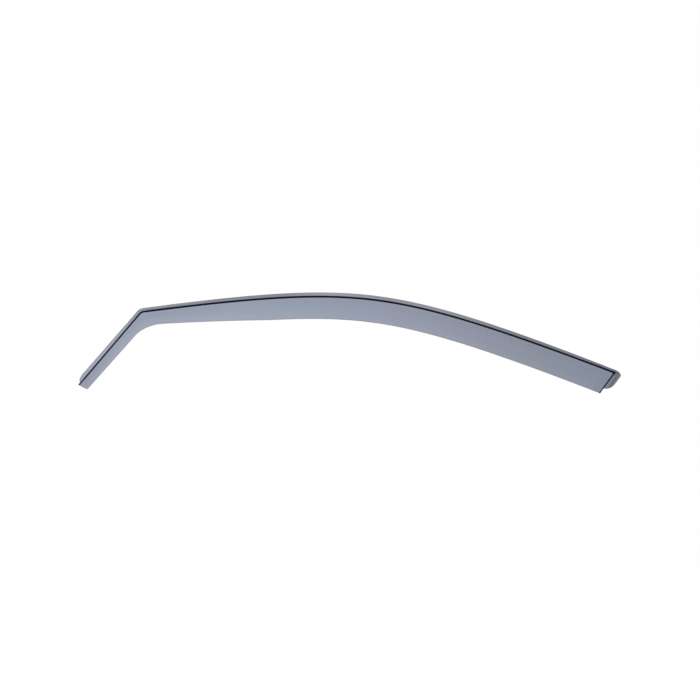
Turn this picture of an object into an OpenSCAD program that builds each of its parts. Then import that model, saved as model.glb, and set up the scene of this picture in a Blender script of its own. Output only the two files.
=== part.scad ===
// Window rain deflector: one shell moulded from tinted acrylic sheet.
// A narrow flange slides into the window channel, a step brings the sheet
// clear of the frame, and the visor hangs below the step. At the wide end
// the step turns the corner and closes the visor, with a tab beyond it.
//
// Origin: back face of the flange, at the foot of the step, at the crown.
// +X runs to the wide (rear) end, +Z is up, and the outer face looks to -Y.

/* [Step line] */
// Level distance from the crown to the front corner
front_run = 293.6; // [220:0.1:380]
// Level distance from the crown to the rear corner
rear_run = 492.1; // [380:0.1:600]
// Slope that the front of the run nears, in degrees
front_rise = 8.96; // [4:0.01:14]
// Slope that the rear of the run nears, in degrees
rear_fall = 22.12; // [15:0.01:28]
// How gently the crown bends between the two slopes
crown_round = 189.6; // [120:0.1:300]
// Length of the leg, along the step
leg_length = 159.9; // [130:0.1:190]
// Slope of the leg, in degrees
leg_slope = 49.4; // [40:0.1:60]
// Radius of the step line at the front corner
corner_radius = 10; // [5:0.5:25]

/* [Visor] */
// Visor width at the tip of the leg
tip_width = 15.3; // [12:0.1:24]
// Visor width at the top of the leg
leg_width = 18.6; // [14:0.1:26]
// Visor width at the crown
crown_width = 37.1; // [28:0.1:48]
// Visor width at the rear corner
rear_width = 40.6; // [28:0.1:60]
// Narrowing from the crown to the front corner, in mm for each mm
front_taper = 0.0637; // [0.02:0.0001:0.08]
// Distance in front of the crown at which the narrowing starts
taper_start = 83.3; // [20:0.1:140]
// Length over which the narrowing sets in
taper_ease = 24.6; // [5:0.1:60]
// Rounding of the lower edge below the corner, along the leg
inner_round_leg = 35; // [25:0.5:50]
// Rounding of the lower edge below the corner, along the run
inner_round_run = 33; // [25:0.5:50]
// Outward stand of the lower edge beyond the step, at the crown
flare = 5; // [1:0.1:12]
// Corner radius at the foot of the leg's end
tip_radius = 3; // [1:0.1:5]
// Angle by which the leg's end is cut off square, in degrees
tip_cut = 13; // [0:0.5:20]
// Angle by which the rear end is cut off square, in degrees
rear_cut = 15.4; // [0:0.1:25]

/* [Flange] */
// Flange width at the tip of the leg
flange_tip = 7.6; // [6.5:0.1:12]
// Flange width at the front corner
flange_corner = 6.2; // [5:0.1:11]
// Flange width where it is widest
flange_middle = 7.1; // [5.5:0.1:12]
// Distance behind the crown at which the flange is widest
flange_peak = 131; // [0:1:240]
// Flange width at the rear corner
flange_rear = 4.9; // [4.6:0.1:12]
// Distance from the leg's end to the start of the flange
flange_start = 5.6; // [2:0.1:12]
// Length of the flange's rounded start
flange_round = 16; // [6:0.5:17]
// Width of the lead-in bevel at the flange's edge
lead_width = 2.6; // [1:0.1:4]
// Sheet thickness at the flange's edge
lead_thickness = 1.4; // [1:0.1:2]

/* [Rear tab] */
// Width of the tab beyond the end wall
tab_width = 12; // [8:0.1:16]
// Length of the tab's straight edge, below the rear corner
tab_straight = 16.7; // [10:0.1:20]
// Distance from the rear corner to the tab's lower end
tab_length = 31.7; // [26:0.1:34]
// Rounding of the tab's top corner, along the top
tab_round_top = 14; // [6:0.5:15]
// Rounding of the tab's top corner, down the side
tab_round_side = 8; // [4:0.5:9]

/* [Sheet and step] */
// Thickness of the sheet
sheet = 2.6; // [2:0.1:2.7]
// Thickness in the step, where forming stretches the sheet
wall_sheet = 2.1; // [1.6:0.1:2.4]
// Height of the step at the crown
step_height = 6; // [5:0.1:10]
// Height of the step at the leg's end
step_tip = 4.6; // [4:0.1:8]
// Height of the step at the rear corner
step_rear = 4.8; // [4:0.1:8]
// Middle radius of the step's two bends
bend_radius = 1.5; // [1.5:0.1:2.2]
// Lean of the step's wall, in degrees
draft = 5; // [3:0.5:12]
// Radius of the step at the rear corner, at its foot
corner_foot = 1.9; // [1.9:0.1:3]
// Radius of the step at the rear corner, at its top
corner_top = 2.8; // [2.4:0.1:4]
// Chamfer of the cut edges
edge_chamfer = 0.4; // [0.2:0.05:0.6]
// Radius of the part's lengthwise bow
bow_radius = 7200; // [4000:100:20000]
// Radius of the part's bow over its height
side_radius = 1500; // [900:50:6000]

/* [Colour] */
// Tint of the acrylic: red, green, blue and opacity
tint = [0.34, 0.38, 0.45, 0.72];

/* [Hidden] */

// The step line's run is a hyperbola: two straight slopes and a round crown.
slope_mean = (tan(front_rise) - tan(rear_fall)) / 2;
slope_half = (tan(front_rise) + tan(rear_fall)) / 2;
crown_shift = crown_round * slope_mean / sqrt(pow(slope_half, 2) - pow(slope_mean, 2));

function sq(a) = a * a;
function mix(a, b, f) = a + (b - a) * f;
function clamp01(f) = max(0, min(1, f));
function ease(f) = let (c = clamp01(f)) c * c * (3 - 2 * c);
function dir(angle) = [cos(angle), sin(angle)];
function run_root(x) = sqrt(sq(x + crown_shift) + sq(crown_round));
function run_z(x) = slope_mean * x - slope_half * (run_root(x) - run_root(0));
function run_heading(x) = atan(slope_mean - slope_half * (x + crown_shift) / run_root(x));

// Front corner, and where its rounding meets the leg and the run
corner = [-front_run, run_z(-front_run)];
corner_heading = run_heading(-front_run);
corner_turn = leg_slope - corner_heading;
corner_reach = corner_radius * tan(corner_turn / 2);
corner_middle = corner - corner_reach * dir(leg_slope) + corner_radius * dir(leg_slope - 90);

// Rear corner
rear = [rear_run, run_z(rear_run)];
rear_heading = run_heading(rear_run);
rear_skew = tan(rear_cut);
rear_stretch = sqrt(1 + sq(rear_skew));
tip_skew = -tan(tip_cut);
straight_rear = 16;
skew_reach = 60;

// Section through the step: bend, leaning wall, bend
bend_steps = 4;
wall_angle = 90 - draft;
wall_rise = step_height - 2 * bend_radius * (1 - cos(wall_angle));
wall_run = wall_rise / tan(wall_angle);
step_half = bend_radius * sin(wall_angle) + wall_run / 2;
foot_bend = [for (k = [0 : bend_steps]) let (a = wall_angle * k / bend_steps)
    [step_half - bend_radius * sin(a), bend_radius * (1 - cos(a))]];
top_bend = [for (k = [bend_steps : -1 : 0]) let (a = wall_angle * k / bend_steps)
    [bend_radius * sin(a) - step_half, bend_radius * (1 - cos(a))]];
step_section = concat(foot_bend, top_bend);

// Rows of the grid: flange rows, step rows, visor rows
flange_rows = 6;
step_rows = len(step_section);
contours = flange_rows + step_rows;
tab_share = (tab_length * cos(rear_cut) - step_half) / (rear_width - step_half);
visor_share = concat(tab_share * [0.04, 0.1, 0.22, 0.42, 0.63, 0.82, 1], [mix(tab_share, 1, 0.6)]);
tab_row = contours + 6;
rows = contours + len(visor_share) + 2;

// Offset of flange row k from the step line, for a flange of the given width
function flange_offset(k, width) = let (
        lead = min(lead_width, width - step_half - 0.5),
        inner = width - lead)
    k == 0 ? width :
    k == 1 ? width - 0.3 * edge_chamfer :
    k == 2 ? width - edge_chamfer :
    mix(inner, step_half, (k - 3) / (flange_rows - 3));
function contour_offset(k, width) =
    k < flange_rows ? flange_offset(k, width) : step_section[k - flange_rows][0];
function contour_rise(k, height) = let (j = k - flange_rows)
    j < 0 ? 0 : j <= bend_steps ? step_section[j][1] : j < step_rows ? height - step_section[j][1] : height;
function contour_level(k) = contour_rise(k, step_height) / step_height;
function contour_sheet(k) =
    k == 0 ? lead_thickness - 1.5 * edge_chamfer :
    k == 1 ? lead_thickness - 0.5 * edge_chamfer :
    k == 2 ? lead_thickness :
    mix(sheet, wall_sheet, min(1, 6 * contour_level(k) * (1 - contour_level(k))));

// Share of the visor's width at row j, from the step to the lower edge
function visor_part(j, width) = let (k = j - contours, n = len(visor_share))
    k < 0 ? 0 : k < n ? visor_share[k] : k == n ? 1 - edge_chamfer / width : 1;

// Widths and heights along the part
function run_width(x) = let (d = -taper_start - x)
    crown_width + (rear_width - crown_width) * x / rear_run
    - front_taper * (d + sqrt(sq(d) + sq(taper_ease))) / 2;
function leg_visor(s) = mix(tip_width, leg_width, s / leg_length);
function run_flange(x) = let (d = x - flange_peak)
    flange_middle - (d < 0
    ? (flange_middle - flange_corner) * sq(d / (front_run + flange_peak))
    : (flange_middle - flange_rear) * sq(d / (rear_run - flange_peak)));
function leg_flange(s) = mix(flange_tip, flange_corner, s / leg_length);
tip_x = corner[0] - leg_length * cos(leg_slope);
function end_share(x) = x < 0 ? sq(x / tip_x) : sq(x / rear_run);
function step_at(x) = mix(step_height, x < 0 ? step_tip : step_rear, min(1.1, end_share(x)));
function flare_at(x) = flare * (1 - 0.6 * min(1, end_share(x)));

// Stations: [point, heading, flange width, skew, lower edge point]
function station(p, heading, visor, fl, skew) =
    [p, heading, fl, skew, p - visor * (dir(heading + 90) + skew * dir(heading))];
function leg_point(s) = corner + (s - leg_length) * dir(leg_slope);
function leg_station(s) = station(leg_point(s), leg_slope, leg_visor(s), leg_flange(s),
    tip_skew * sq(1 - clamp01(s / skew_reach)));
function run_station(x) = let (
        h = run_heading(x),
        left = (rear_run - x) / cos(rear_heading) / rear_stretch,
        skew = rear_skew * ease((straight_rear + skew_reach - left) / skew_reach))
    station([x, run_z(x)], h, run_width(x), run_flange(x), skew);

// Last stretch before the rear corner and the end wall: p is the distance past the end line
function rear_station(p) = station(rear + p * rear_stretch * dir(rear_heading), rear_heading,
    rear_width, flange_rear, rear_skew);

// Below the front corner the lower edge follows one smooth curve
round_from = leg_station(leg_length - inner_round_leg);
round_to = run_station(-front_run + inner_round_run);
round_a = round_from[4];
round_d = round_to[4];
edge_from = (leg_station(leg_length - inner_round_leg + 1)[4] - round_a);
edge_to = (round_d - run_station(-front_run + inner_round_run - 1)[4]);
dir_from = edge_from / norm(edge_from);
dir_to = edge_to / norm(edge_to);
round_cross = dir_from[0] * dir_to[1] - dir_from[1] * dir_to[0];
round_gap = round_d - round_a;
reach_from = (round_gap[0] * dir_to[1] - round_gap[1] * dir_to[0]) / round_cross;
reach_to = (dir_from[0] * round_gap[1] - dir_from[1] * round_gap[0]) / round_cross;
round_b = round_a + 0.58 * reach_from * dir_from;
round_c = round_d - 0.58 * reach_to * dir_to;
function round_edge(f) = pow(1 - f, 3) * round_a + 3 * sq(1 - f) * f * round_b
    + 3 * (1 - f) * sq(f) * round_c + pow(f, 3) * round_d;

// The step line round the front corner, by the distance from the rounding's start
arc_length = corner_radius * corner_turn * PI / 180;
before_arc = inner_round_leg - corner_reach;
after_arc = inner_round_run - corner_reach * cos(corner_heading);
round_length = before_arc + arc_length + after_arc;
function corner_station(t) = let (
        f = t / round_length,
        turned = clamp01((t - before_arc) / arc_length) * corner_turn,
        past = t - before_arc - arc_length,
        x = -front_run + inner_round_run - (round_length - t),
        h = past > 0 ? run_heading(x) : leg_slope - turned,
        p = t < before_arc ? corner + (t - inner_round_leg) * dir(leg_slope) :
            past > 0 ? [x, run_z(x)] :
            corner_middle + corner_radius * dir(leg_slope + 90 - turned))
    [p, h, flange_corner, 0, round_edge(f)];

// All stations, from the leg's end to the tab's outer edge
tip_stations = [0, 0.4, 1.2, 2.4, flange_start, flange_start + 1.6, flange_start + 4,
    flange_start + 7.5, flange_start + 12, flange_start + 17];
notch_column = 4;
leg_from = flange_start + 17;
leg_to = leg_length - inner_round_leg;
leg_count = 9;
leg_stations = [for (k = [1 : leg_count]) leg_from + (leg_to - leg_from) * k / leg_count];
corner_stations = concat(
    [for (k = [1 : 7]) before_arc * k / 7],
    [for (k = [1 : 8]) before_arc + arc_length * k / 8],
    [for (k = [1 : 6]) before_arc + arc_length + after_arc * k / 6]);
run_from = -front_run + inner_round_run;
run_to = rear_run - straight_rear * rear_stretch * cos(rear_heading);
run_count = 50;
run_stations = [for (k = [1 : run_count]) run_from + (run_to - run_from) * k / run_count];
rear_offsets = [-13, -10.4, -8.1, -6.1, -4.4, -3];
stations = concat(
    [for (s = tip_stations) leg_station(s)],
    [for (s = leg_stations) leg_station(s)],
    [for (t = corner_stations) corner_station(t)],
    [for (x = run_stations) run_station(x)],
    [for (p = rear_offsets) rear_station(p)]);
plain_columns = len(stations);
columns = plain_columns + contours;

// Contour number of a row or column, counted from the outer edge inwards
function row_contour(j) = min(j, contours);
function column_contour(i) = i < plain_columns ? contours : columns - 1 - i;

// Plain offsets of a row and a column at the rear corner
function rear_q(j) = j < contours ? contour_offset(j, flange_rear) :
    -mix(step_half, rear_width, visor_part(j, rear_width));
function rear_p(i) = i < plain_columns
    ? rear_offsets[i - plain_columns + len(rear_offsets)]
    : contour_offset(columns - 1 - i, tab_width);

// Every contour turns the rear corner in its own quarter round
function round_of(c, outside, width) = c < flange_rows
    ? mix(corner_foot, outside, (contour_offset(c, width) - step_half) / (width - step_half))
    : mix(corner_foot, corner_top, (1 - contour_offset(min(c, contours - 1), width) / step_half) / 2);
function rounded(a, b, p, q, ra, rb) = let (
        along = (a - p) / ra,
        down = (b - q) / rb,
        turn = along > 0 ? 45 + 45 * min(1, along) : 45 - 45 * min(1, down))
    along >= 1 || down >= 1 ? [p, q] : [a - ra + ra * cos(turn), b - rb + rb * sin(turn)];

// The tab's lower end is a quarter ellipse: rows below its straight part move up
function tab_end(p) = let (f = clamp01((p - step_half) / (tab_width - step_half)))
    tab_straight + (tab_length - tab_straight) * sqrt(1 - sq(f));
function tab_down(p, q) = let (
        depth = -q,
        last = tab_length * cos(rear_cut))
    depth < 6 ? q : -(6 + (depth - 6) * (tab_end(p) * cos(rear_cut) - 6) / (last - 6));

function near_rear(i) = i >= plain_columns - len(rear_offsets);
function rear_point(i, j) = let (
        c = min(row_contour(j), column_contour(i)),
        q0 = rear_q(j),
        p0 = rear_p(i),
        q1 = c < flange_rows && column_contour(i) == c ? tab_down(p0, q0) : q0,
        a = contour_offset(c, tab_width),
        b = contour_offset(c, flange_rear),
        ra = round_of(c, tab_round_top, tab_width),
        rb = round_of(c, tab_round_side, flange_rear),
        r = c < contours ? rounded(a, b, p0, q1, ra, rb) : [p0, q1])
    rear + r[0] * rear_stretch * dir(rear_heading)
    + r[1] * (dir(rear_heading + 90) + rear_skew * dir(rear_heading));

// The flange starts in a quarter ellipse near the leg's end
function start_shift(s, q, width) = let (
        f = clamp01((q - step_half) / (width - step_half)),
        start = flange_start + flange_round * (1 - sqrt(1 - sq(f))),
        stop = leg_from)
    s < flange_start || s >= stop ? 0 :
    start + (s - flange_start) * (stop - start) / (stop - flange_start) - s;

// Rounded foot of the leg's end
function foot_shift(s, q, width) = let (
        left = width - q,
        up = clamp01(1 - left / tip_radius),
        back = tip_radius * (1 - sqrt(1 - sq(up))))
    s >= tip_stations[3] + tip_radius ? 0 : back * (1 - s / (tip_stations[3] + tip_radius));

function plain_point(i, j) = let (
        st = stations[i],
        tau = dir(st[1]),
        g = dir(st[1] + 90) + st[3] * tau,
        q = contour_offset(j, st[2]),
        s = i < len(tip_stations) ? tip_stations[i] : 1000,
        width = norm(st[4] - st[0]),
        part = visor_part(j, width - step_half),
        top = st[0] - step_half * g)
    j < contours
        ? st[0] + q * g + (q > step_half - 0.01 ? start_shift(s, q, st[2]) * tau : [0, 0])
        : mix(top, st[4], part) + foot_shift(s, mix(step_half, width, part), width) * tau;
function plan_point(i, j) = near_rear(i) ? rear_point(i, j) : plain_point(i, j);

// Outward level of the middle surface above the flange, and the bowed base
middle_x = (tip_x + rear_run) / 2;
middle_z = -45;
function base(x, z) = (sq(x - middle_x) - sq(middle_x)) / (2 * bow_radius)
    + (sq(z - middle_z) - sq(middle_z)) / (2 * side_radius);
function level(i, j, x) = let (
        c = min(row_contour(j), column_contour(i)),
        part = visor_part(j, rear_width))
    contour_rise(c, step_at(x) + flare_at(x) * part * (1.35 - 0.35 * part));
function middle_point(i, j) = let (p = plan_point(i, j))
    [p[0], base(p[0], p[1]) - level(i, j, p[0]) - sheet / 2, p[1]];
grid = [for (i = [0 : columns - 1]) [for (j = [0 : rows - 1]) middle_point(i, j)]];

// Sheet thickness at each grid point
function sheet_at(i, j) = let (
        c = min(row_contour(j), column_contour(i)),
        t = contour_sheet(c),
        cut = i == 0 || j == rows - 1)
    cut ? t - 1.5 * edge_chamfer : t;
function direction(before, here, after) = let (
        a = here - before,
        b = after - here,
        la = norm(a),
        lb = norm(b))
    la == 0 ? b : lb == 0 ? a : a * lb / la + b * la / lb;
function normal_at(i, j) = let (
        p = grid[i][j],
        a = direction(grid[max(0, i - 1)][j], p, grid[min(columns - 1, i + 1)][j]),
        b = direction(grid[i][max(0, j - 1)], p, grid[i][min(rows - 1, j + 1)]),
        n = cross(b, a))
    n / norm(n);

// The sheet covers a cell unless it lies past the flange's start or, below the tab, past the end wall
function covered(i, j) = i >= 0 && j >= 0 && i < columns - 1 && j < rows - 1
    && !(i < notch_column && j < flange_rows)
    && !(i >= columns - 1 - flange_rows - bend_steps && j >= tab_row);

function id(i, j, side) = (i * rows + j) * 2 + side;
shell_points = [for (i = [0 : columns - 1]) for (j = [0 : rows - 1])
    let (n = normal_at(i, j) * sheet_at(i, j) / 2) each [grid[i][j] - n, grid[i][j] + n]];
function quad(a, b, c, d) = [[a, b, c], [a, c, d]];
shell_faces = [for (i = [0 : columns - 2]) for (j = [0 : rows - 2]) if (covered(i, j)) each concat(
    quad(id(i, j, 0), id(i, j + 1, 0), id(i + 1, j + 1, 0), id(i + 1, j, 0)),
    quad(id(i, j, 1), id(i + 1, j, 1), id(i + 1, j + 1, 1), id(i, j + 1, 1)),
    covered(i, j - 1) ? [] : quad(id(i, j, 0), id(i + 1, j, 0), id(i + 1, j, 1), id(i, j, 1)),
    covered(i, j + 1) ? [] :
        quad(id(i, j + 1, 0), id(i, j + 1, 1), id(i + 1, j + 1, 1), id(i + 1, j + 1, 0)),
    covered(i - 1, j) ? [] : quad(id(i, j, 0), id(i, j, 1), id(i, j + 1, 1), id(i, j + 1, 0)),
    covered(i + 1, j) ? [] :
        quad(id(i + 1, j, 0), id(i + 1, j + 1, 0), id(i + 1, j + 1, 1), id(i + 1, j, 1)))];

module deflector() {
    color(tint)
        polyhedron(points = shell_points, faces = shell_faces, convexity = 6);
}

deflector();
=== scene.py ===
"""Window rain deflector: one sheet of smoke-tinted acrylic, seen from its outer face.

The shell is a surface over a grid of columns, which stand along the part, and rows, which run
across it from the flange's edge to the visor's. Lengths are in millimetres and angles in degrees,
up to the place where the mesh is made.
"""

import bpy
import numpy as np
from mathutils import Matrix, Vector


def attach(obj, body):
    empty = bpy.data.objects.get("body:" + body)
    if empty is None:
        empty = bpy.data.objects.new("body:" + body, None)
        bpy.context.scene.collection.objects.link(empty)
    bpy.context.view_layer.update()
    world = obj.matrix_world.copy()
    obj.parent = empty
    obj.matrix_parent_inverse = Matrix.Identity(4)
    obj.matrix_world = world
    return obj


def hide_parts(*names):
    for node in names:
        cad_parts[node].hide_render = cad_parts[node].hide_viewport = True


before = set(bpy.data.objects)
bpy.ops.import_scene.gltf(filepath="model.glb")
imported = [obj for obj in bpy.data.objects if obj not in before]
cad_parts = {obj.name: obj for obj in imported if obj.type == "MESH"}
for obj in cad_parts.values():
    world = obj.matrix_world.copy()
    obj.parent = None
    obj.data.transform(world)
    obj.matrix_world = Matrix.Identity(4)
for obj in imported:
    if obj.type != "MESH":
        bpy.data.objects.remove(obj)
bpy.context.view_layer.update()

# Step line
FRONT_RUN = 293.6            # level distance from the crown to the front corner
REAR_RUN = 492.1             # level distance from the crown to the rear corner
FRONT_RISE = 8.96            # slope that the front of the run nears
REAR_FALL = 22.12            # slope that the rear of the run nears
CROWN_ROUND = 189.6          # how gently the crown bends between the two slopes
LEG_LENGTH = 159.9
LEG_SLOPE = 49.4
CORNER_RADIUS = 10.0         # of the step line at the front corner

# Visor
TIP_WIDTH = 15.3             # width at the tip of the leg
LEG_WIDTH = 18.6             # width at the top of the leg
CROWN_WIDTH = 37.1
REAR_WIDTH = 40.6
FRONT_TAPER = 0.0637         # narrowing from the crown to the front corner, for each millimetre
TAPER_START = 83.3           # distance in front of the crown at which the narrowing starts
TAPER_EASE = 24.6            # length over which it sets in
ROUND_LEG = 35.0             # rounding of the lower edge below the front corner, along the leg
ROUND_RUN = 33.0             # and along the run
CURVE_PULL = 0.58            # how far that curve reaches to where its end directions cross
FLARE = 5.0                  # outward stand of the lower edge beyond the step, at the crown
FLARE_LOSS = 0.6             # share of the flare that is lost towards the ends
FLARE_BEND = 0.35            # how much faster the flare sets in just below the step
TIP_RADIUS = 3.0             # corner radius at the foot of the leg's end
TIP_REACH = 2.4              # length by which that rounding eases out beyond its radius
TIP_CUT = 13.0               # angle by which the leg's end is cut off square
REAR_CUT = 15.4              # angle by which the rear end is cut off square
STRAIGHT_REAR = 16.0         # last stretch of the run, which has the full rear cut
SKEW_REACH = 60.0            # length over which the rows lean into either cut

# Flange
FLANGE_TIP = 7.6             # width at the tip of the leg
FLANGE_CORNER = 6.2          # width at the front corner
FLANGE_MIDDLE = 7.1          # width where it is widest
FLANGE_PEAK = 131.0          # distance behind the crown at which it is widest
FLANGE_REAR = 4.9            # width at the rear corner
FLANGE_START = 5.6           # distance from the leg's end to the start of the flange
FLANGE_ROUND = 16.0          # length of its rounded start
START_REACH = 17.0           # length over which the columns at its start come back to even places
LEAD_WIDTH = 2.6             # width of the lead-in bevel at its edge
LEAD_THICKNESS = 1.4         # thickness there
LEAD_ROUNDING = 0.75         # share of a cut edge's round that the thin bevel has
FLAT_LEAST = 0.5             # least width of the flange inside the bevel

# Rear tab
TAB_WIDTH = 12.0
TAB_STRAIGHT = 16.7          # length of its straight edge, below the rear corner
TAB_LENGTH = 31.7            # distance from the rear corner to its lower end
TAB_ROUND_TOP = 14.0         # rounding of its top corner, along the top
TAB_ROUND_SIDE = 8.0         # and down the side
TAB_EVEN = 6.0               # depth down to which its rows stay level

# Sheet and step
SHEET = 2.6
WALL_SHEET = 2.1             # thickness in the step, where forming stretches the sheet
WALL_THINNING = 6.0          # how fast the sheet thins into the wall
STEP_HEIGHT = 6.0            # at the crown
STEP_TIP = 4.6               # at the leg's end
STEP_REAR = 4.8              # at the rear corner
STEP_LIMIT = 1.1             # share of the change to the end's height at which it stops
BEND_RADIUS = 1.5            # middle radius of the step's two bends
DRAFT = 5.0                  # lean of the step's wall
CORNER_FOOT = 1.9            # radius of the step at the rear corner, at its foot
CORNER_TOP = 2.8             # and at its top
EDGE_ROUND = 0.4             # rounding of the cut edges
BOW_RADIUS = 7200.0          # of the part's lengthwise bow
SIDE_RADIUS = 1500.0         # of the part's bow over its height
MIDDLE_Z = -45.0             # level about which it is bowed over its height

# Grid: numbers of steps, and the even columns before the end wall
EDGE_STEPS = 4               # in the rounding of a cut edge
BEVEL_STEPS = 4
FLAT_STEPS = 5               # over the rest of the flange
BEND_STEPS = 9               # in each bend of the step
UPPER_STEPS = 16             # down the visor, as far as the tab reaches
UPPER_CROWDING = 1.05        # above 1, those rows are closer together near the step
LOWER_STEPS = 6              # below the tab
LOWER_REACH = 0.8            # share of that part which they cover, short of the cut edge
BARE_STEPS = 7               # between the leg's cut edge and the flange's start
START_STEPS = 18             # along the flange's start
START_CROWDING = 1.3
LEG_STEPS = 28
ARC_STEPS = 18               # round the front corner, and as many in front of it
AFTER_STEPS = 16             # from the arc to the end of the lower edge's curve
RUN_STEPS = 190
REAR_STEPS = 16
REAR_FROM, REAR_TO = -14.5, -2.9
FAR = 1000.0                 # stands for the distance from the leg's end where it has no effect
TOUCHING = 0.01              # offsets this close are taken as equal
RIM_STRIPS = 24              # the grid's distances from its edges are worked out in so many strips
SHARP_ANGLE = 50.0           # edges turning more than this are shaded sharp


def sin(angle):
    """Sine of an angle in degrees."""
    return np.sin(np.radians(angle))


def cos(angle):
    """Cosine of an angle in degrees."""
    return np.cos(np.radians(angle))


def tan(angle):
    """Tangent of an angle in degrees."""
    return np.tan(np.radians(angle))


def heading(angle):
    """Unit vector at an angle, in the plane of the outline."""
    angle = np.asarray(angle, float)
    return np.stack([cos(angle), sin(angle)], axis=-1)


def mix(a, b, f):
    """a where f is 0, b where f is 1, straight between."""
    return a + (b - a) * f


def ease(f):
    """Smooth step: 3 f squared less 2 f cubed, held at 0 and 1."""
    c = np.clip(f, 0, 1)
    return c * c * (3 - 2 * c)


def steps(start, stop, count):
    """Even steps from start, which is left out, to stop."""
    return np.linspace(start, stop, count + 1)[1:]


SLOPE_MEAN = (tan(FRONT_RISE) - tan(REAR_FALL)) / 2
SLOPE_HALF = (tan(FRONT_RISE) + tan(REAR_FALL)) / 2
CROWN_SHIFT = CROWN_ROUND * SLOPE_MEAN / np.sqrt(SLOPE_HALF ** 2 - SLOPE_MEAN ** 2)


def run_root(x):
    """Root of the hyperbola: the square of x from its middle, plus the square of the crown's round."""
    return np.sqrt((x + CROWN_SHIFT) ** 2 + CROWN_ROUND ** 2)


def run_z(x):
    """Step line of the run: a hyperbola between the front slope and the rear slope, 0 at the crown."""
    return SLOPE_MEAN * x - SLOPE_HALF * (run_root(x) - run_root(0.0))


def run_heading(x):
    """Angle of the step line on the run, from the hyperbola's slope."""
    return np.degrees(np.arctan(SLOPE_MEAN - SLOPE_HALF * (x + CROWN_SHIFT) / run_root(x)))


# Front corner, and the stretch of the step line over which the lower edge is rounded
CORNER = np.array([-FRONT_RUN, run_z(-FRONT_RUN)])
CORNER_HEADING = run_heading(-FRONT_RUN)
CORNER_TURN = LEG_SLOPE - CORNER_HEADING
CORNER_REACH = CORNER_RADIUS * tan(CORNER_TURN / 2)
CORNER_MIDDLE = CORNER - CORNER_REACH * heading(LEG_SLOPE) + CORNER_RADIUS * heading(LEG_SLOPE - 90)
BEFORE_ARC = ROUND_LEG - CORNER_REACH
ARC_LENGTH = CORNER_RADIUS * np.radians(CORNER_TURN)
AFTER_ARC = ROUND_RUN - CORNER_REACH * cos(CORNER_HEADING)
ROUND_LENGTH = BEFORE_ARC + ARC_LENGTH + AFTER_ARC
TIP_X = CORNER[0] - LEG_LENGTH * cos(LEG_SLOPE)

# Rear corner
REAR = np.array([REAR_RUN, run_z(REAR_RUN)])
REAR_HEADING = run_heading(REAR_RUN)
REAR_SKEW = tan(REAR_CUT)
REAR_STRETCH = np.sqrt(1 + REAR_SKEW ** 2)
MIDDLE_X = (TIP_X + REAR_RUN) / 2

# Round of a cut edge: how far in from the edge each row is, and how much thinner the sheet is there
edge_turn = np.linspace(90, 0, EDGE_STEPS + 1)
EDGE_INSET = EDGE_ROUND * (1 - sin(edge_turn))
EDGE_THIN = 2 * EDGE_ROUND * (1 - cos(edge_turn))

# Section through the step: offset from the step line, and rise from the foot or drop from the top
WALL_ANGLE = 90 - DRAFT
WALL_RISE = STEP_HEIGHT - 2 * BEND_RADIUS * (1 - cos(WALL_ANGLE))
STEP_HALF = BEND_RADIUS * cos(DRAFT) + WALL_RISE / tan(WALL_ANGLE) / 2
bend_turn = np.linspace(0, WALL_ANGLE, BEND_STEPS + 1)
FOOT_BEND = np.stack([STEP_HALF - BEND_RADIUS * sin(bend_turn), BEND_RADIUS * (1 - cos(bend_turn))], axis=1)
STEP_SECTION = np.concatenate([FOOT_BEND, FOOT_BEND[::-1] * [-1, 1]])

# Contours, from the flange's edge to the top of the step, and then the visor's rows
FLANGE_ROWS = EDGE_STEPS + 1 + BEVEL_STEPS + FLAT_STEPS - 1
CONTOURS = FLANGE_ROWS + len(STEP_SECTION)
RISE_SHARE = np.concatenate([np.zeros(FLANGE_ROWS + len(FOOT_BEND)), np.ones(len(FOOT_BEND) + 1)])
RISE_FIXED = np.concatenate([np.zeros(FLANGE_ROWS), FOOT_BEND[:, 1], -FOOT_BEND[::-1, 1], [0.0]])
TAB_SHARE = (TAB_LENGTH * cos(REAR_CUT) - STEP_HALF) / (REAR_WIDTH - STEP_HALF)
VISOR_SHARE = np.concatenate([TAB_SHARE * steps(0, 1, UPPER_STEPS) ** UPPER_CROWDING,
                              mix(TAB_SHARE, 1, steps(0, LOWER_REACH, LOWER_STEPS))])
TAB_ROW = CONTOURS + UPPER_STEPS - 1
ROWS = CONTOURS + len(VISOR_SHARE) + EDGE_STEPS + 1
ROW_CONTOUR = np.minimum(np.arange(ROWS), CONTOURS)

# Columns at the leg's end and at the rear end
LEG_FROM = FLANGE_START + START_REACH
START_COLUMNS = mix(FLANGE_START, LEG_FROM, steps(0, 1, START_STEPS) ** START_CROWDING)
TIP_COLUMNS = np.concatenate([EDGE_INSET, steps(EDGE_ROUND, FLANGE_START, BARE_STEPS), START_COLUMNS])
BARE_COLUMNS = EDGE_STEPS + BARE_STEPS
REAR_COLUMNS = np.linspace(REAR_FROM, REAR_TO, REAR_STEPS + 1)


def contour_offsets(width):
    """Offset of every contour from the step line, for a flange of the given width: the edge's round,
    the bevel, the flat flange, then the step's section."""
    width = np.atleast_1d(np.asarray(width, float))[:, None]
    inner = width - np.minimum(LEAD_WIDTH, width - STEP_HALF - FLAT_LEAST)
    round_rows = width - EDGE_INSET[None, :]
    bevel = mix(width - EDGE_ROUND, inner, steps(0, 1, BEVEL_STEPS))
    flat = mix(inner, STEP_HALF, steps(0, 1, FLAT_STEPS)[:-1])
    step = np.broadcast_to(STEP_SECTION[:, 0], (len(width), len(STEP_SECTION)))
    return np.concatenate([round_rows, bevel, flat, step], axis=1)


TAB_OFFSETS = contour_offsets(TAB_WIDTH)[0]
REAR_OFFSETS = contour_offsets(FLANGE_REAR)[0]


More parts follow.
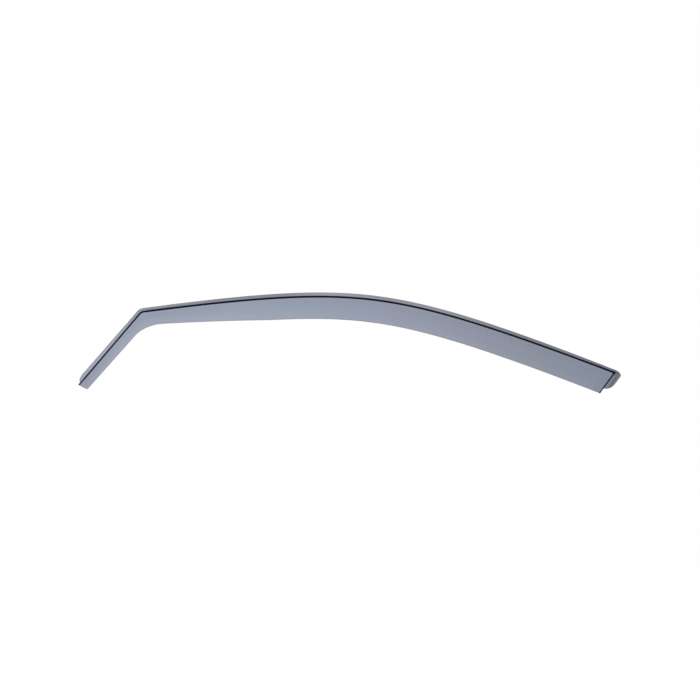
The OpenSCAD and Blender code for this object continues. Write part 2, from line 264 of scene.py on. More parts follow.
def contour_sheets():
    """Sheet thickness on every contour: thin at the bevel's edge, full on the flange, and less in
    the step, where it falls as a parabola over the step's height down to the wall's thickness."""
    round_rows = LEAD_THICKNESS - LEAD_ROUNDING * EDGE_THIN
    bevel = mix(LEAD_THICKNESS, SHEET, steps(0, 1, BEVEL_STEPS))
    level = (RISE_SHARE + RISE_FIXED / STEP_HEIGHT)[FLANGE_ROWS:]
    step = mix(SHEET, WALL_SHEET, np.minimum(1, WALL_THINNING * level * (1 - level)))
    return np.concatenate([round_rows, bevel, np.full(FLAT_STEPS - 1, SHEET), step])


def visor_parts(width):
    """Share of the visor's width at every visor row. The last rows round the cut edge."""
    width = np.atleast_1d(np.asarray(width, float))[:, None]
    share = np.broadcast_to(VISOR_SHARE, (len(width), len(VISOR_SHARE)))
    return np.concatenate([share, 1 - EDGE_INSET[None, ::-1] / width], axis=1)


def run_width(x):
    """Visor width: straight from crown to rear corner, less a soft-started taper to the front."""
    d = -TAPER_START - x
    return (CROWN_WIDTH + (REAR_WIDTH - CROWN_WIDTH) * x / REAR_RUN
            - FRONT_TAPER * (d + np.sqrt(d * d + TAPER_EASE ** 2)) / 2)


def run_flange(x):
    """Flange width: a parabola to each side of its widest place."""
    d = x - FLANGE_PEAK
    front = (FLANGE_MIDDLE - FLANGE_CORNER) * (d / (FRONT_RUN + FLANGE_PEAK)) ** 2
    rear = (FLANGE_MIDDLE - FLANGE_REAR) * (d / (REAR_RUN - FLANGE_PEAK)) ** 2
    return FLANGE_MIDDLE - np.where(d < 0, front, rear)


def edge_point(p, angle, visor, skew):
    """Lower edge point: the visor's width square to the step line, slid along it by the skew."""
    return p - visor[:, None] * (heading(angle + 90) + skew[:, None] * heading(angle))


# Stations are where the columns stand on the step line. They are six arrays: the point, the step
# line's angle, the flange's width, the skew of the rows, the lower edge's point, and the distance
# from the leg's end.
def leg_stations(s):
    """Stations on the straight leg, by distance from its end."""
    s = np.atleast_1d(np.asarray(s, float))
    p = CORNER + (s - LEG_LENGTH)[:, None] * heading(LEG_SLOPE)
    angle = np.full(len(s), LEG_SLOPE)
    skew = -tan(TIP_CUT) * (1 - np.clip(s / SKEW_REACH, 0, 1)) ** 2
    edge = edge_point(p, angle, mix(TIP_WIDTH, LEG_WIDTH, s / LEG_LENGTH), skew)
    return p, angle, mix(FLANGE_TIP, FLANGE_CORNER, s / LEG_LENGTH), skew, edge, s


def run_stations(x):
    """Stations on the run, by level distance from the crown."""
    x = np.atleast_1d(np.asarray(x, float))
    p, angle = np.stack([x, run_z(x)], axis=1), run_heading(x)
    left = (REAR_RUN - x) / cos(REAR_HEADING) / REAR_STRETCH
    skew = REAR_SKEW * ease((STRAIGHT_REAR + SKEW_REACH - left) / SKEW_REACH)
    edge = edge_point(p, angle, run_width(x), skew)
    return p, angle, run_flange(x), skew, edge, np.full(len(x), FAR)


def rear_stations(d):
    """Stations on the last straight stretch, by distance past the end line."""
    p = REAR + (d * REAR_STRETCH)[:, None] * heading(REAR_HEADING)
    angle, one = np.full(len(d), REAR_HEADING), np.ones(len(d))
    edge = edge_point(p, angle, REAR_WIDTH * one, REAR_SKEW * one)
    return p, angle, FLANGE_REAR * one, REAR_SKEW * one, edge, FAR * one


def corner_stations(t):
    """Stations round the front corner, by distance from the start of the lower edge's curve. The step
    line is straight, an arc, then the run, and the lower edge is one cubic curve."""
    start = leg_stations([LEG_LENGTH - ROUND_LEG, LEG_LENGTH - ROUND_LEG + 1])[4]
    stop = run_stations([-FRONT_RUN + ROUND_RUN - 1, -FRONT_RUN + ROUND_RUN])[4]
    into, out = start[1] - start[0], stop[1] - stop[0]
    into, out = into / np.hypot(*into), out / np.hypot(*out)
    gap = stop[1] - start[0]
    cross = into[0] * out[1] - into[1] * out[0]
    a, d = start[0], stop[1]
    b = a + CURVE_PULL * (gap[0] * out[1] - gap[1] * out[0]) / cross * into
    c = d - CURVE_PULL * (into[0] * gap[1] - into[1] * gap[0]) / cross * out
    f = (t / ROUND_LENGTH)[:, None]
    edge = (1 - f) ** 3 * a + 3 * (1 - f) ** 2 * f * b + 3 * (1 - f) * f ** 2 * c + f ** 3 * d
    turned = np.clip((t - BEFORE_ARC) / ARC_LENGTH, 0, 1) * CORNER_TURN
    x = -FRONT_RUN + ROUND_RUN - (ROUND_LENGTH - t)
    on_leg = CORNER + (t - ROUND_LEG)[:, None] * heading(LEG_SLOPE)
    on_arc = CORNER_MIDDLE + CORNER_RADIUS * heading(LEG_SLOPE + 90 - turned)
    on_run = np.stack([x, run_z(x)], axis=1)
    before, past = t < BEFORE_ARC, t > BEFORE_ARC + ARC_LENGTH
    p = np.where(before[:, None], on_leg, np.where(past[:, None], on_run, on_arc))
    angle = np.where(past, run_heading(x), LEG_SLOPE - turned)
    zero = np.zeros(len(t))
    return p, angle, zero + FLANGE_CORNER, zero, edge, zero + FAR


def all_stations():
    """Every plain column, from the leg's end to just before the end wall."""
    corner = np.concatenate([steps(0, BEFORE_ARC, ARC_STEPS),
                             BEFORE_ARC + steps(0, ARC_LENGTH, ARC_STEPS),
                             BEFORE_ARC + ARC_LENGTH + steps(0, AFTER_ARC, AFTER_STEPS)])
    run_end = REAR_RUN - STRAIGHT_REAR * REAR_STRETCH * cos(REAR_HEADING)
    parts = [leg_stations(TIP_COLUMNS),
             leg_stations(steps(LEG_FROM, LEG_LENGTH - ROUND_LEG, LEG_STEPS)),
             corner_stations(corner),
             run_stations(steps(-FRONT_RUN + ROUND_RUN, run_end, RUN_STEPS)),
             rear_stations(REAR_COLUMNS)]
    return [np.concatenate(group) for group in zip(*parts)]


def plain_plan(stations):
    """Plan of the plain columns. Flange and step rows lie square to the step line, and visor rows go
    straight to the lower edge. The flange starts in a quarter ellipse, and the foot of the leg's end
    is a quarter circle that eases out along the leg."""
    p, angle, flange, skew, edge, s = stations
    ahead = heading(angle)[:, None, :]
    upward = heading(angle + 90)[:, None, :] + skew[:, None, None] * ahead
    s = s[:, None]
    offset = contour_offsets(flange)
    share = np.clip((offset - STEP_HALF) / (flange[:, None] - STEP_HALF), 0, 1)
    start = FLANGE_START + FLANGE_ROUND * (1 - np.sqrt(1 - share ** 2))
    moved = start + (s - FLANGE_START) * (LEG_FROM - start) / (LEG_FROM - FLANGE_START) - s
    on = (s >= FLANGE_START) & (s < LEG_FROM) & (offset > STEP_HALF - TOUCHING)
    upper = p[:, None, :] + offset[:, :, None] * upward + np.where(on, moved, 0)[:, :, None] * ahead
    width = np.hypot(*(edge - p).T)
    part = visor_parts(width - STEP_HALF)
    top = p[:, None, :] - STEP_HALF * upward
    up = np.clip(1 - (width[:, None] * (1 - part)) / TIP_RADIUS, 0, 1)
    reach = TIP_REACH + TIP_RADIUS
    back = np.where(s < reach, TIP_RADIUS * (1 - np.sqrt(1 - up ** 2)) * (1 - s / reach), 0)
    lower = mix(top, edge[:, None, :], part[:, :, None]) + back[:, :, None] * ahead
    return np.concatenate([upper, lower], axis=1)


def rear_plan(p, own):
    """Plan of the rear columns, from their distance past the end line and their own contour. Every
    contour turns the rear corner in its own quarter round, and the tab's rows are drawn up to a
    quarter ellipse."""
    visor = -mix(STEP_HALF, REAR_WIDTH, visor_parts(REAR_WIDTH)[0])
    q = np.concatenate([REAR_OFFSETS, visor])[None, :]
    p, own = p[:, None], own[:, None]
    contour = np.minimum(ROW_CONTOUR[None, :], own)
    across = np.clip((p - STEP_HALF) / (TAB_WIDTH - STEP_HALF), 0, 1)
    tab_end = mix(TAB_STRAIGHT, TAB_LENGTH, np.sqrt(1 - across ** 2)) * cos(REAR_CUT)
    drawn = (tab_end - TAB_EVEN) / (TAB_LENGTH * cos(REAR_CUT) - TAB_EVEN)
    on_tab = (contour < FLANGE_ROWS) & (contour == own) & (-q >= TAB_EVEN)
    q = np.where(on_tab, -(TAB_EVEN + (-q - TAB_EVEN) * drawn), q)
    p = np.broadcast_to(p, q.shape)
    pick = np.minimum(contour, CONTOURS - 1)
    side, top = TAB_OFFSETS[pick], REAR_OFFSETS[pick]
    step_round = mix(CORNER_FOOT, CORNER_TOP, np.clip((1 - side / STEP_HALF) / 2, 0, 1))
    out_side = np.clip((side - STEP_HALF) / (TAB_WIDTH - STEP_HALF), 0, 1)
    out_top = np.clip((top - STEP_HALF) / (FLANGE_REAR - STEP_HALF), 0, 1)
    round_along = mix(step_round, TAB_ROUND_TOP, out_side)
    round_down = mix(step_round, TAB_ROUND_SIDE, out_top)
    along, down = (side - p) / round_along, (top - q) / round_down
    turn = np.where(along > 0, 45 + 45 * np.minimum(1, along), 45 - 45 * np.minimum(1, down))
    plain = (along >= 1) | (down >= 1) | (contour >= CONTOURS)
    p = np.where(plain, p, side - round_along * (1 - cos(turn)))
    q = np.where(plain, q, top - round_down * (1 - sin(turn)))
    ahead, upward = heading(REAR_HEADING), heading(REAR_HEADING + 90)
    return REAR + (p * REAR_STRETCH)[:, :, None] * ahead + q[:, :, None] * (upward + REAR_SKEW * ahead)


def bowed_base(x, z):
    """Level of the flange's back face: a parabola along the part and one over its height, 0 at the
    crown's foot."""
    return (((x - MIDDLE_X) ** 2 - MIDDLE_X ** 2) / (2 * BOW_RADIUS)
            + ((z - MIDDLE_Z) ** 2 - MIDDLE_Z ** 2) / (2 * SIDE_RADIUS))


def stand_off(x, contour, part):
    """Distance in front of the flange: the step's section, then the visor's flare, a parabola over
    its width. Both change with the square of the distance from the crown."""
    end = np.where(x < 0, (x / TIP_X) ** 2, (x / REAR_RUN) ** 2)
    step = mix(STEP_HEIGHT, np.where(x < 0, STEP_TIP, STEP_REAR), np.minimum(STEP_LIMIT, end))
    flare = FLARE * (1 - FLARE_LOSS * np.minimum(1, end))
    bent = part * (1 + FLARE_BEND - FLARE_BEND * part)
    return RISE_FIXED[contour] + RISE_SHARE[contour] * (step + flare * bent)


def sheet_thickness(contour):
    """Thickness at every place: its contour's, less the round of the edges that are cut at the leg's
    end and along the bottom."""
    sheet = np.concatenate([contour_sheets(), [SHEET]])[contour]
    thin = np.zeros_like(sheet)
    thin[:EDGE_STEPS + 1] = EDGE_THIN[:, None]
    thin[:, -EDGE_STEPS - 1:] = np.maximum(thin[:, -EDGE_STEPS - 1:], EDGE_THIN[None, ::-1])
    return sheet - thin


def step_distance(flange, width, past_end, own, part):
    """Distance of every place from the step line, above it on flange and tab, and below 0 on the
    visor. It is worked out from each column's flange and visor widths, its distance past the end
    line, its own contour, and each row's share of the visor."""
    by_row = contour_offsets(flange)[:, np.minimum(np.arange(ROWS), CONTOURS - 1)]
    by_column = TAB_OFFSETS[np.minimum(own, CONTOURS - 1)][:, None]
    outside = np.where(own[:, None] < ROW_CONTOUR[None, :], by_column, by_row)
    below = -STEP_HALF - part * (width[:, None] - STEP_HALF)
    inside = np.maximum(below, np.minimum(past_end, -STEP_HALF)[:, None])
    return np.where(np.minimum(own[:, None], ROW_CONTOUR[None, :]) < CONTOURS, outside, inside)


def shell_grid():
    """Middle surface: the plan, pushed outward by the step and the visor's flare, on the bowed base.
    Returns its points, its thickness and its distances from the step line."""
    stations = all_stations()
    plain = len(stations[0])
    near = plain - len(REAR_COLUMNS)
    past_end = np.concatenate([REAR_COLUMNS, TAB_OFFSETS[::-1]])
    own = np.concatenate([np.full(plain, CONTOURS), np.arange(CONTOURS)[::-1]])
    contour = np.minimum(own[:, None], ROW_CONTOUR[None, :])
    plan = np.concatenate([plain_plan([a[:near] for a in stations]), rear_plan(past_end, own[near:])])
    x, z = plan[:, :, 0], plan[:, :, 1]
    part = np.concatenate([np.zeros(CONTOURS), visor_parts(REAR_WIDTH)[0]])[None, :]
    points = np.stack([x, bowed_base(x, z) - stand_off(x, contour, part) - SHEET / 2, z], axis=-1)
    flange = np.concatenate([stations[2][:near], np.full(len(past_end), FLANGE_REAR)])
    visor = np.hypot(*(stations[4] - stations[0])[:near].T)
    visor = np.concatenate([visor, np.full(len(past_end), REAR_WIDTH)])
    past_end = np.concatenate([np.full(near, -FAR), past_end])
    return points, sheet_thickness(contour), step_distance(flange, visor, past_end, own, part)


def directions(points):
    """Direction along the first axis at every point: the unit steps before and after it, each weighted
    by the length of the other, which is exact on an arc with uneven steps."""
    step = np.diff(points, axis=0)
    length = np.maximum(np.linalg.norm(step, axis=-1, keepdims=True), 1e-9)
    unit = step / length
    inner = unit[1:] * length[:-1] + unit[:-1] * length[1:]
    return np.concatenate([unit[:1], inner, unit[-1:]])


def shell_normals(points):
    """Unit normals of the middle surface, towards the outer face, square to the directions along it
    and across it. On the rounded corners of its last row the two directions meet, so that row takes
    the normals beside it."""
    across = directions(points.transpose(1, 0, 2)).transpose(1, 0, 2)
    normal = np.cross(across, directions(points))
    normal[:, -1] = normal[:, -2]
    return normal / np.linalg.norm(normal, axis=-1, keepdims=True)


def covered_cells(columns, rows):
    """Cells of the grid that the sheet covers, inside a border of empty ones: all but those before the
    flange's start, and those past the end wall below the tab."""
    covered = np.zeros((columns + 1, rows + 1), bool)
    covered[1:-1, 1:-1] = True
    covered[:BARE_COLUMNS + 1, :FLANGE_ROWS + 1] = False
    covered[columns - FLANGE_ROWS - BEND_STEPS:, TAB_ROW + 1:] = False
    return covered


def edge_gaps(points, covered):
    """Distance in plan from every place to the nearest free edge: an edge point has some, but not all,
    of its four cells covered."""
    cells = sum(covered[a:a + points.shape[0], b:b + points.shape[1]].astype(int)
                for a in (0, 1) for b in (0, 1))
    rim = points[(cells > 0) & (cells < 4)][:, [0, 2]]
    strips = [np.hypot(part[:, :, None, 0] - rim[:, 0], part[:, :, None, 2] - rim[:, 1]).min(axis=2)
              for part in np.array_split(points, RIM_STRIPS)]
    return np.concatenate(strips)


def closed_faces(covered):
    """Quads of the closed shell: every covered cell has one on the back and one on the outer face, and
    one along each side where the next cell is empty. Corners are numbered by column, row and face,
    with 0 for the back and 1 for the outer face."""
    rows = covered.shape[1] - 1
    i, j = np.nonzero(covered[1:-1, 1:-1])

    def quads(keep, *corners):
        """Quads at the kept cells, from the steps to their corners' columns and rows, and their faces."""
        return np.stack([((i + di) * rows + j + dj)[keep] * 2 + face for di, dj, face in corners], axis=1)

    every = slice(None)
    return np.concatenate([
        quads(every, (0, 0, 0), (1, 0, 0), (1, 1, 0), (0, 1, 0)),
        quads(every, (0, 0, 1), (0, 1, 1), (1, 1, 1), (1, 0, 1)),
        quads(~covered[i + 1, j], (0, 0, 0), (0, 0, 1), (1, 0, 1), (1, 0, 0)),
        quads(~covered[i + 1, j + 2], (0, 1, 0), (1, 1, 0), (1, 1, 1), (0, 1, 1)),
        quads(~covered[i, j + 1], (0, 0, 0), (0, 1, 0), (0, 1, 1), (0, 0, 1)),
        quads(~covered[i + 2, j + 1], (1, 0, 0), (1, 0, 1), (1, 1, 1), (1, 1, 0))])


def shell_mesh(name):
    """Closed shell: the middle surface moved half a sheet to each side, joined along every free edge.
    Its attributes are the distance from the step line and from the nearest free edge, in millimetres.
    Its UV map runs along the part and across it, with the outer face beyond the back."""
    points, sheet, offset = shell_grid()
    columns, rows = sheet.shape
    half = shell_normals(points) * sheet[:, :, None] / 2
    verts = np.stack([points - half, points + half], axis=2).reshape(-1, 3) * 0.001
    lean = np.hypot(half[:, :, 0], half[:, :, 2])
    offset = np.stack([offset - lean, offset + lean], axis=2).ravel()
    covered = covered_cells(columns, rows)
    used, faces = np.unique(closed_faces(covered), return_inverse=True)
    faces = faces.reshape(-1, 4).astype(np.int32)
    mesh = bpy.data.meshes.new(name)
    mesh.vertices.add(len(used))
    mesh.vertices.foreach_set("co", verts[used].ravel())
    mesh.loops.add(faces.size)
    mesh.loops.foreach_set("vertex_index", faces.ravel())
    mesh.polygons.add(len(faces))
    mesh.polygons.foreach_set("loop_start", np.arange(0, faces.size, 4, dtype=np.int32))
    mesh.update(calc_edges=True)
    mesh.shade_smooth()
    mesh.set_sharp_from_angle(angle=np.radians(SHARP_ANGLE))
    column, row = used // 2 // rows, used // 2 % rows
    gap = edge_gaps(points, covered)[column, row]
    for label, values in (("step_offset", offset[used]), ("edge_gap", gap)):
        layer = mesh.attributes.new(label, "FLOAT", "POINT")
        layer.data.foreach_set("value", values.astype(np.float32))
    uv = mesh.uv_layers.new(name="sheet")
    flat = np.stack([column / columns, (row / rows + used % 2) / 2], axis=1)
    uv.data.foreach_set("uv", flat[faces.ravel()].astype(np.float32).ravel())
    mesh.validate()
    return mesh


class Val:
    """A socket's value with the usual arithmetic. Each sum or product adds its Math node."""

    def __init__(self, tree, socket):
        self.tree, self.socket = tree, socket

    def math(self, operation, a, b, clamp=False):
        return self.tree.add("Math", {"operation": operation, "use_clamp": clamp}, {0: a, 1: b})

    def __add__(self, other):
        return self.math("ADD", self, other)

    def __radd__(self, other):
        return self.math("ADD", other, self)

    def __sub__(self, other):
        return self.math("SUBTRACT", self, other)

    def __rsub__(self, other):
        return self.math("SUBTRACT", other, self)

    def __mul__(self, other):
        return self.math("MULTIPLY", self, other)

    def __rmul__(self, other):
        return self.math("MULTIPLY", other, self)

    def __abs__(self):
        return self.math("ABSOLUTE", self, 0.0)

    def clamp(self):
        """Held between 0 and 1."""
        return self.math("ADD", self, 0.0, clamp=True)

    def fade(self, start, stop):
        """0 up to start, 1 from stop on (or the other way about), with a smooth step between."""
        return self.tree.add("MapRange", {"interpolation_type": "SMOOTHSTEP"},
                             {"Value": self, "From Min": start, "From Max": stop})

    def beside(self, name):
        """Another output of the same node."""
        return Val(self.tree, self.socket.node.outputs[name])


class Tree:
    """Node tree of a material or of the world."""

    def __init__(self, owner, output="OutputMaterial"):
        owner.use_nodes = True
        self.owner, self.nodes, self.links = owner, owner.node_tree.nodes, owner.node_tree.links
        self.nodes.clear()
        self.out = self.nodes.new("ShaderNode" + output)

    def add(self, kind, settings=None, inputs=None, out=0):
        """Any node, from its type, its settings, such as a ramp's stops, and its sockets' values or
        links. A colour is written as three numbers. The answer is the output of the given number."""
        node = self.nodes.new("ShaderNode" + kind)
        for key, value in (settings or {}).items():
            if key == "stops":
                self.set_stops(node.color_ramp.elements, value)
            else:
                setattr(node, key, value)
        for key, value in (inputs or {}).items():
            socket = node.inputs[key]
            if isinstance(value, Val):
                self.links.new(value.socket, socket)
            else:
                socket.default_value = (*value, 1) if socket.type == "RGBA" else value
        return Val(self, node.outputs[out])

    def set_stops(self, elements, stops):
        """Stops of a colour ramp, given in order as positions and colours."""
        for position, _ in stops[1:-1]:
            elements.new(position)
        for element, (position, color) in zip(elements, stops):
            element.position, element.color = position, (*color, 1)

    def blend(self, kind, share, color, other):
        """A colour blended with another one, by a share from 0 to 1."""
        settings = {"data_type": "RGBA", "blend_type": kind}
        return self.add("Mix", settings, {0: share, 6: color, 7: other}, out=2)

    def seen(self):
        """1 for what the camera sees directly, in a reflection or through the acrylic, else 0."""
        ray = self.add("LightPath")
        return (ray + ray.beside("Is Glossy Ray") + ray.beside("Is Transmission Ray")).clamp()

    def finish(self, surface, volume=None):
        """Links the surface, and the volume if there is one, and gives back the material or world."""
        self.links.new(surface.socket, self.out.inputs["Surface"])
        if volume:
            self.links.new(volume.socket, self.out.inputs["Volume"])
        return self.owner


# Tints along the part: each is a level distance from the crown, and the tint there
TINTS_FROM, TINTS_TO = -400.0, 510.0
VISOR_TINTS = [
    (-370, (0.745, 0.732, 0.756)), (-335, (0.81, 0.815, 0.828)), (-250, (0.752, 0.748, 0.779)),
    (-150, (0.789, 0.788, 0.803)), (0, (0.729, 0.719, 0.759)), (190, (0.694, 0.658, 0.685)),
    (370, (0.598, 0.583, 0.593)), (480, (0.545, 0.551, 0.589))]
FLANGE_TINTS = [
    (-350, (0.785, 0.77, 0.775)), (-325, (0.725, 0.73, 0.745)), (-280, (0.485, 0.47, 0.478)),
    (-190, (0.52, 0.488, 0.505)), (-60, (0.52, 0.48, 0.478)), (20, (0.735, 0.675, 0.65)),
    (110, (0.568, 0.53, 0.516)), (190, (0.62, 0.585, 0.56)), (340, (0.39, 0.37, 0.378)),
    (420, (0.40, 0.398, 0.39)), (460, (0.318, 0.318, 0.33)), (485, (0.36, 0.345, 0.362))]

# Tints that the others are multiplied by, each over its own stretch of the sheet; most of them are painted
# shade, as marked
TAB_TINT = (0.74, 0.75, 0.77)
STREAK_SHADE = (0.48, 0.47, 0.48)         # painted shade: a dark streak down the tab
CORNER_SHADE_SPOT = (0.62, 0.61, 0.64)           # painted shade: a dark spot above the rear corner, where the step's dark line spreads
NEAR_STEP_SHADE = (0.928, 0.92, 0.919)    # painted shade on the visor just below the step
INNER_TINT = (0.885, 0.94, 0.97)         # the visor away from its edges
BEVEL_SHADE = (0.76, 0.77, 0.79)            # painted shade on the flange's bevel beside its edge
CUT_EDGE_SHADE = (0.60, 0.62, 0.65)            # painted shade of the cut edges, which bend the light away
PAINTED_STEP_SHADE = (0.006, 0.010, 0.026)        # painted shade of the step's wall: a dark line that lets no light through
SMOKE = (0.13, 0.22, 0.41)               # the sheet's own tint, in its depth
SMOKE_DENSITY = 360.0                    # for each metre
ACRYLIC_IOR = 1.49

SPOT_AHEAD, SPOT_UP = 2.0, 1.5           # where the painted shade spot is, from the rear corner
POLISHED, CUT_ROUGHNESS, FINE_ROUGHNESS = 0.02, 0.33, 0.03
LINE_REACH = 1.33                        # half width of the painted shade line along the step's wall
LINE_SOFTNESS = 0.5                      # length over which it fades out
LINE_DEPTH = 0.995


class Places:
    """What the material's patterns follow, in millimetres: the distance along the part, the height over
    the run's end, which is below 0 down the end wall, and the mesh's own distances from the step line
    and from the nearest edge. The wide end and the flange are shares from 0 to 1."""

    def __init__(self, t):
        self.place = t.add("TexCoord", out=3)
        metres = t.add("SeparateXYZ", inputs={"Vector": self.place})
        self.x = metres * 1000
        z = metres.beside("Z") * 1000
        self.height = (z - REAR[1]) * cos(REAR_HEADING) - (self.x - REAR[0]) * sin(REAR_HEADING)
        self.offset = t.add("Attribute", {"attribute_name": "step_offset"}, out=2)
        self.gap = t.add("Attribute", {"attribute_name": "edge_gap"}, out=2)
        self.wide_end = self.x.fade(430, 455)
        self.flange = self.offset.fade(0.5, 1.6)


def sheet_tint(t, at):
    """Tint over the sheet. Visor and flange have their own tints along the part, and the tab, the inside
    and painted shade are
    multiplied in: painted shade on the tab's streak, the spot, the stretch below the step and the edges."""

    def along(tints):
        """A ramp of tints along the part."""
        stops = [((x - TINTS_FROM) / (TINTS_TO - TINTS_FROM), tint) for x, tint in tints]
        share = (at.x - TINTS_FROM) * (1 / (TINTS_TO - TINTS_FROM))
        return t.add("ValToRGB", {"stops": stops}, {"Fac": share})

    spot_x, spot_z = REAR + SPOT_AHEAD * heading(REAR_HEADING) + SPOT_UP * heading(REAR_HEADING + 90)
    spot_at = np.array([spot_x, bowed_base(spot_x, spot_z) - SHEET / 2, spot_z]) / 1000
    from_spot = t.add("VectorMath", {"operation": "DISTANCE"}, {0: at.place, 1: spot_at}, out=1) * 1000
    tab = at.wide_end * at.height.fade(-2, -6) * at.flange
    low_tab = at.wide_end * at.height.fade(-21, -26)
    # painted shade: the streak, the spot, the stretch below the step, the bevel rim and the cut edges
    streak = tab * at.offset.fade(4.4, 6.8) * at.offset.fade(9.8, 8.0) * at.height.fade(-28, -23)
    spot = from_spot.fade(9, 3) * at.flange
    near_step = at.offset.fade(-20, -3) * at.offset.fade(0, -1)
    inner = at.gap.fade(1.5, 17) * at.offset.fade(0.5, -1)
    rim = at.gap.fade(3.2, 1.2) * at.flange * (1 - low_tab)
    cut = at.gap.fade(1.3, 0.3)
    tint = t.blend("MIX", at.flange * (1 - tab), along(VISOR_TINTS), along(FLANGE_TINTS))
    for share, other in ((tab, TAB_TINT), (streak, STREAK_SHADE), (spot, CORNER_SHADE_SPOT), (cut, CUT_EDGE_SHADE),
                         (near_step, NEAR_STEP_SHADE), (inner, INNER_TINT), (rim, BEVEL_SHADE)):
        tint = t.blend("MULTIPLY", share, tint, other)
    return tint


def painted_step_shade(at):
    """Share of the painted shade: a soft-edged dark line along the step, where the clear wall shows dark.
    It is narrower on the leg, towards the rear and down the end wall, and fainter down the end wall, below
    the tab and at the tip."""
    end_wall = at.wide_end * at.height.fade(-1, -4)
    low_wall = at.wide_end * at.height.fade(-15, -20)
    under_tab = at.wide_end * at.height.fade(-28, -33)
    tip = at.x.fade(-385, -398)
    reach = LINE_REACH + at.x.fade(-310, -270) * 0.32 - at.x.fade(50, 400) * 0.1
    reach = reach - end_wall * 0.45 - under_tab * 0.12
    depth = LINE_DEPTH - end_wall * 0.08 - low_wall * 0.06 - under_tab * 0.38 - tip * 0.6
    return ((reach + LINE_SOFTNESS / 2 - abs(at.offset)) * (1 / LINE_SOFTNESS)).clamp() * depth


def tinted_acrylic():
    """Clear acrylic with the smoke tint in its depth. Its faces are polished, with a faint forming wave,
    its cut edges are matt, and a dark line of painted shade, which lets no light through, lies on the
    step's wall."""
    t = Tree(bpy.data.materials.new("tinted_acrylic"))
    at = Places(t)
    fine = t.add("TexNoise", inputs={"Vector": at.place, "Scale": 900.0, "Detail": 2.0})
    wave = t.add("TexNoise", inputs={"Vector": at.place, "Scale": 22.0, "Detail": 1.0})
    cut = at.gap.fade(0.7, 0.3)
    rough = (POLISHED + cut * CUT_ROUGHNESS + fine * FINE_ROUGHNESS).clamp()
    bump = t.add("Bump", inputs={"Strength": 0.2, "Distance": 0.0006, "Height": wave + fine * cut * 0.6})
    clear = t.add("BsdfPrincipled", inputs={
        "Base Color": sheet_tint(t, at), "Roughness": rough, "Normal": bump,
        "IOR": ACRYLIC_IOR, "Transmission Weight": 1.0})
    # painted shade: the dark, opaque finish of the line along the step's wall
    dark = t.add("BsdfPrincipled", inputs={
        "Base Color": PAINTED_STEP_SHADE, "Roughness": 0.6, "Specular IOR Level": 0.0})
    smoke = t.add("VolumeAbsorption", inputs={"Color": SMOKE, "Density": SMOKE_DENSITY})
    return t.finish(t.add("MixShader", inputs={0: painted_step_shade(at), 1: clear, 2: dark}), smoke)


# Studio
WHITE = (1, 1, 1)
FLOOR_PAINT = (0.86, 0.86, 0.86)
FLOOR_SHADOWED = (0.45, 0.45, 0.45)      # the part of the seen floor's white that takes the shadow
FLOOR_GLOW = 0.75                        # and the rest of it
WORLD_LIGHT = 0.6
FLOOR_HALF, FLOOR_Z = 9.0, -0.95         # metres

PHOTO_SIZE = 700                         # pixels
PART_LENGTH, PART_PIXELS = 900.0, 542.6  # tip to tip, in millimetres and in the photo's pixels
CROWN_PIXEL = (318.23, 296.65)           # where the photo shows the origin, from its top left
CAMERA_REACH = 12.0                      # metres from the camera to the visor's outer face
FACE_Y = -0.008                          # where that face is near the crown, in metres
SENSOR = 36.0                            # millimetres


def studio_floor():
    """Pale floor: near white where it is seen, with the part's shadow on it, and open from beneath."""
    t = Tree(bpy.data.materials.new("studio_floor"))
    paint = t.add("BsdfDiffuse", inputs={"Color": FLOOR_PAINT})
    shadowed = t.add("BsdfDiffuse", inputs={"Color": FLOOR_SHADOWED})
    glow = t.add("Emission", inputs={"Color": WHITE, "Strength": FLOOR_GLOW})
    bright = t.add("AddShader", inputs={0: shadowed, 1: glow})
    top = t.add("MixShader", inputs={0: t.seen(), 1: paint, 2: bright})
    beneath = t.add("NewGeometry").beside("Backfacing")
    return t.finish(t.add("MixShader", inputs={0: beneath, 1: top, 2: t.add("BsdfTransparent")}))


def studio_world():
    """Even soft light from all round, white where it is seen."""
    t = Tree(bpy.data.worlds.new("studio_world"), "OutputWorld")
    light = t.add("Background", inputs={"Color": WHITE, "Strength": WORLD_LIGHT})
    white = t.add("Background", inputs={"Color": WHITE, "Strength": 1.0})
    return t.finish(t.add("MixShader", inputs={0: t.seen(), 1: light, 2: white}))


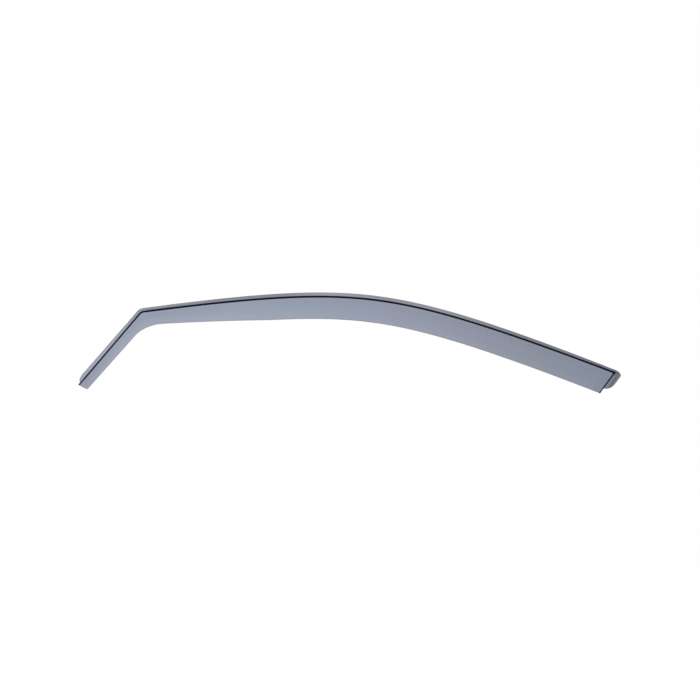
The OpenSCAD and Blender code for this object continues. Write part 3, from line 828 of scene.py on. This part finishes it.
def floor_mesh(half, z):
    """Flat square floor, facing up."""
    mesh = bpy.data.meshes.new("studio_floor")
    corners = np.array([[-1, -1], [1, -1], [1, 1], [-1, 1]]) * half
    mesh.from_pydata([(x, y, z) for x, y in corners.tolist()], [], [(0, 1, 2, 3)])
    return mesh


def put(name, mesh, material):
    """A mesh as an object in the scene, with its material."""
    obj = bpy.data.objects.new(name, mesh)
    mesh.materials.append(material)
    bpy.context.scene.collection.objects.link(obj)
    return obj


def soft_lamp(name, at, target, size, power):
    """A square lamp turned to its target, with its size in metres and its power in watts."""
    data = bpy.data.lights.new(name, "AREA")
    data.shape, data.size, data.energy = "SQUARE", size, power
    lamp = bpy.data.objects.new(name, data)
    lamp.location = at
    lamp.rotation_euler = (Vector(target) - Vector(at)).to_track_quat("-Z", "Y").to_euler()
    bpy.context.scene.collection.objects.link(lamp)


def photo_camera():
    """Camera level with the photo's middle, looking straight at the outer face from far off. A pixel
    of the photo is the part's length over the pixels that it spans."""
    pixel = PART_LENGTH / PART_PIXELS / 1000
    data = bpy.data.cameras.new("camera")
    data.sensor_fit, data.sensor_width, data.sensor_height = "HORIZONTAL", SENSOR, SENSOR
    data.lens = SENSOR * CAMERA_REACH / (PHOTO_SIZE * pixel)
    data.clip_start, data.clip_end = 0.05, 60.0
    camera = bpy.data.objects.new("camera", data)
    camera.location = ((PHOTO_SIZE / 2 - CROWN_PIXEL[0]) * pixel, FACE_Y - CAMERA_REACH,
                       (CROWN_PIXEL[1] - PHOTO_SIZE / 2) * pixel)
    camera.rotation_euler = (np.radians(90), 0, 0)
    bpy.context.scene.collection.objects.link(camera)
    bpy.context.scene.camera = camera


shell = put("tinted_shell", shell_mesh("tinted_shell"), tinted_acrylic())
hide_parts("deflector")
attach(shell, "root")

floor = put("studio_floor", floor_mesh(FLOOR_HALF, FLOOR_Z), studio_floor())

soft_lamp("key_lamp", (-1.8, -2.6, 3.0), (0, 0, -0.1), 3.0, 45)
soft_lamp("fill_lamp", (2.8, -2.2, 1.6), (0, 0, -0.1), 3.0, 25)
bpy.context.scene.world = studio_world()
photo_camera()
bpy.context.scene.view_settings.view_transform = "Standard"
